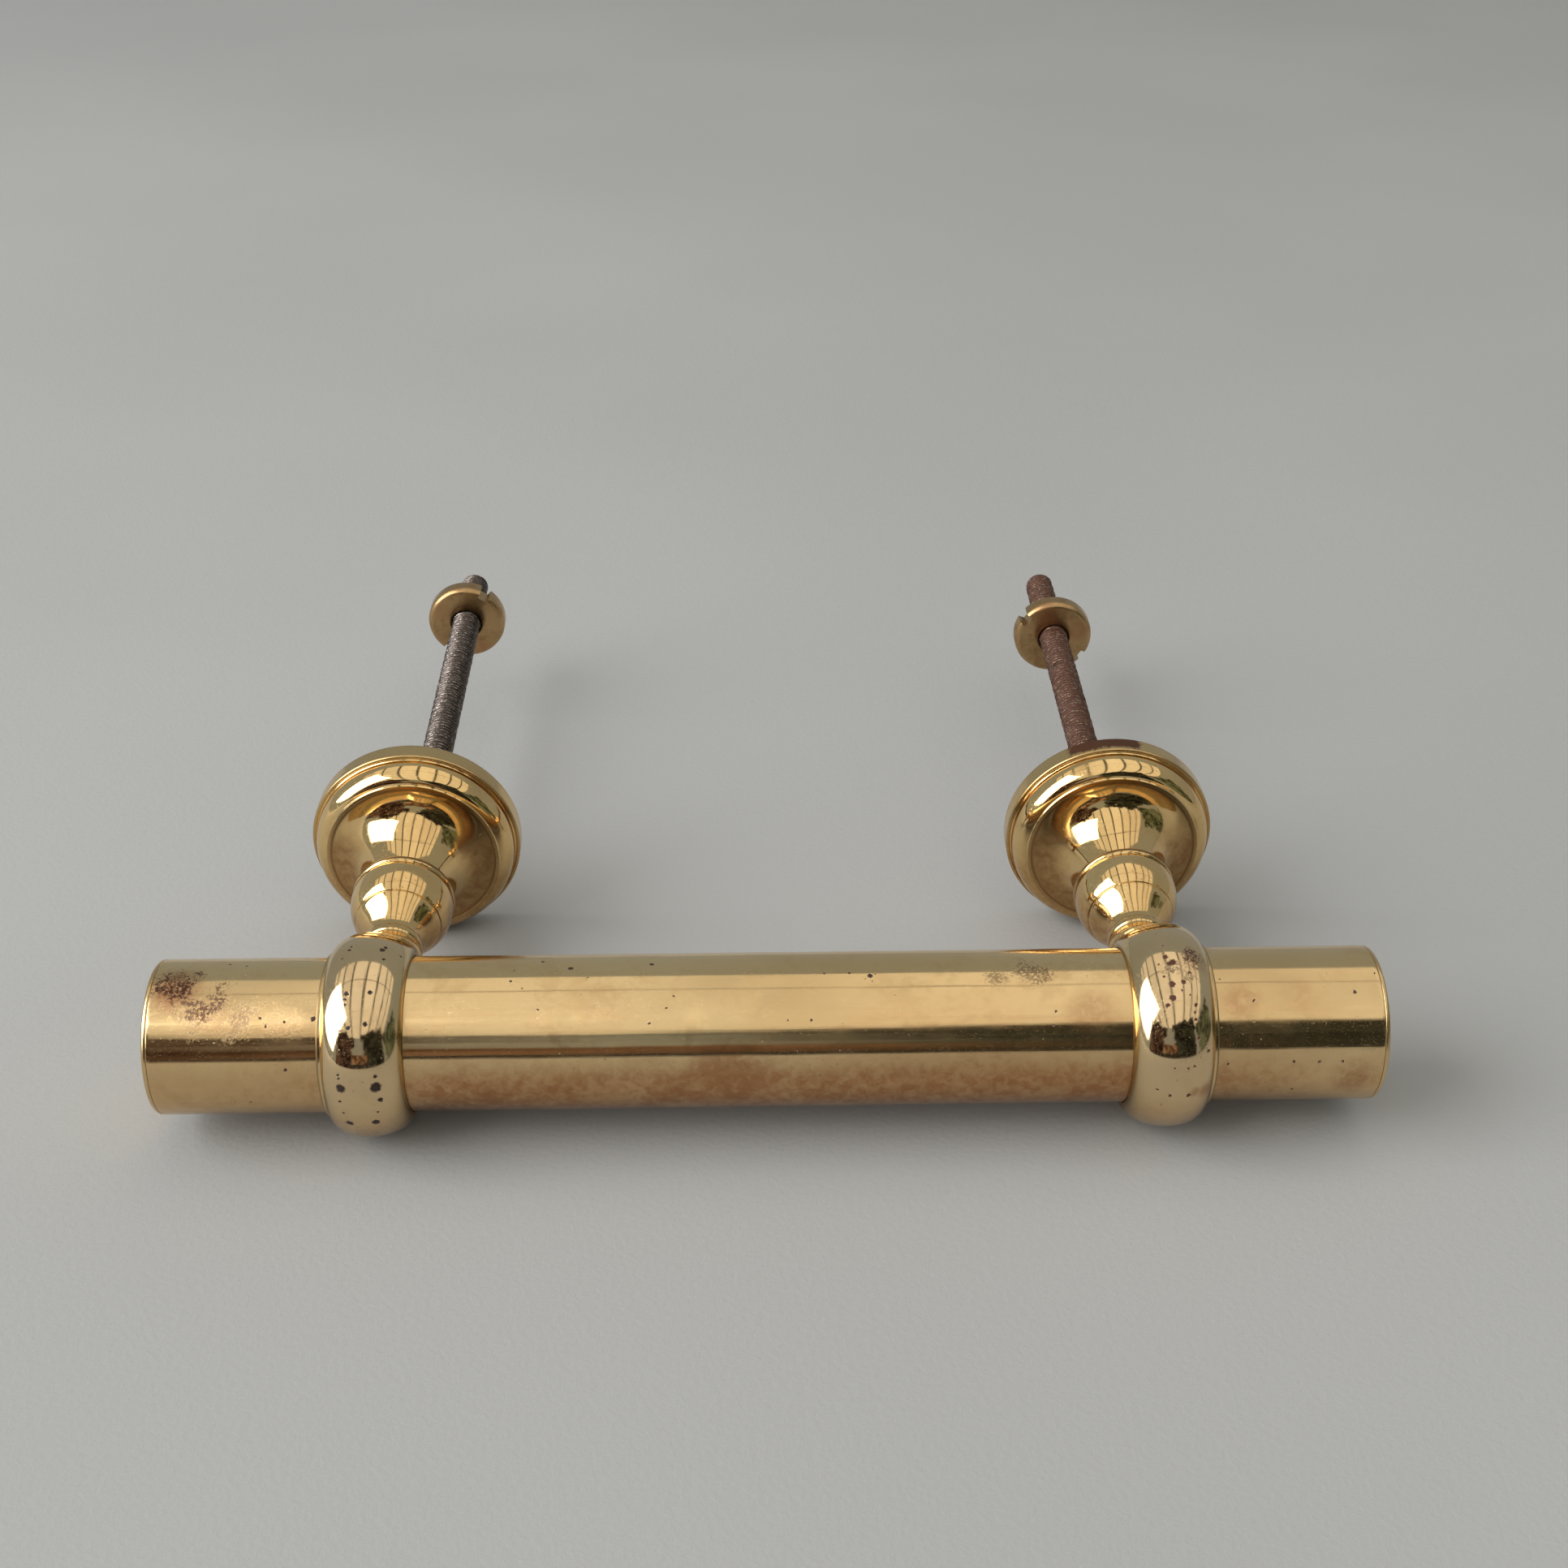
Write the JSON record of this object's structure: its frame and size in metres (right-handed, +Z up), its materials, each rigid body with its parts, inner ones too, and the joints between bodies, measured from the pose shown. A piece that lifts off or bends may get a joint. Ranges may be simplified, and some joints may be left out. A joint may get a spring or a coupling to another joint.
{
  "type": "door pull handle",
  "caption": "Brass bar pull handle: a round tube grip on turned posts with stepped roses, held through the door by long threaded studs and round slotted nuts.",
  "frame": {"origin": "midway between the two stud axes, on the plane of the roses' back faces where they meet the door", "axes": "+X along the grip, +Y into the door along the studs, +Z up"},
  "size_m": [0.1968, 0.1739, 0.038],
  "materials": {
    "grip_brass": "polished, aged, with dark specks",
    "ring_brass": "polished, pale, with dark spots of tarnish",
    "post_brass": "bright polished",
    "rose_brass": "polished, with rough casting on the lower side",
    "nut_brass": "dull, brown, with bright edges",
    "insert_brass": "machined",
    "dark_steel": "dark, worn bright on the thread",
    "rusty_steel": "brown rust, worn bright on the thread",
    "jam_nut_steel": "plain zinc grey"
  },
  "bodies": {
    "handle": {"grip_tube": "grip_brass", "left_end_cap": "grip_brass", "right_end_cap": "grip_brass", "left_ring": "ring_brass", "right_ring": "ring_brass", "left_collar": "post_brass", "right_collar": "post_brass", "left_column": "post_brass", "right_column": "post_brass", "left_rose": "rose_brass", "right_rose": "rose_brass", "left_stud": "dark_steel", "right_stud": "rusty_steel", "left_insert": "insert_brass", "right_insert": "insert_brass", "left_jam_nut": "jam_nut_steel", "right_jam_nut": "jam_nut_steel"},
    "left_nut_body": {"left_nut": "nut_brass"},
    "right_nut_body": {"right_nut": "nut_brass"}
  },
  "joints": [
    {"name": "left_nut_travel", "type": "slide", "parent": "handle", "child": "left_nut_body", "axis": [0, 1, 0], "range_m": [-0.0806, 0.0188]},
    {"name": "right_nut_travel", "type": "slide", "parent": "handle", "child": "right_nut_body", "axis": [0, 1, 0], "range_m": [-0.0717, 0.0258]}
  ]
}
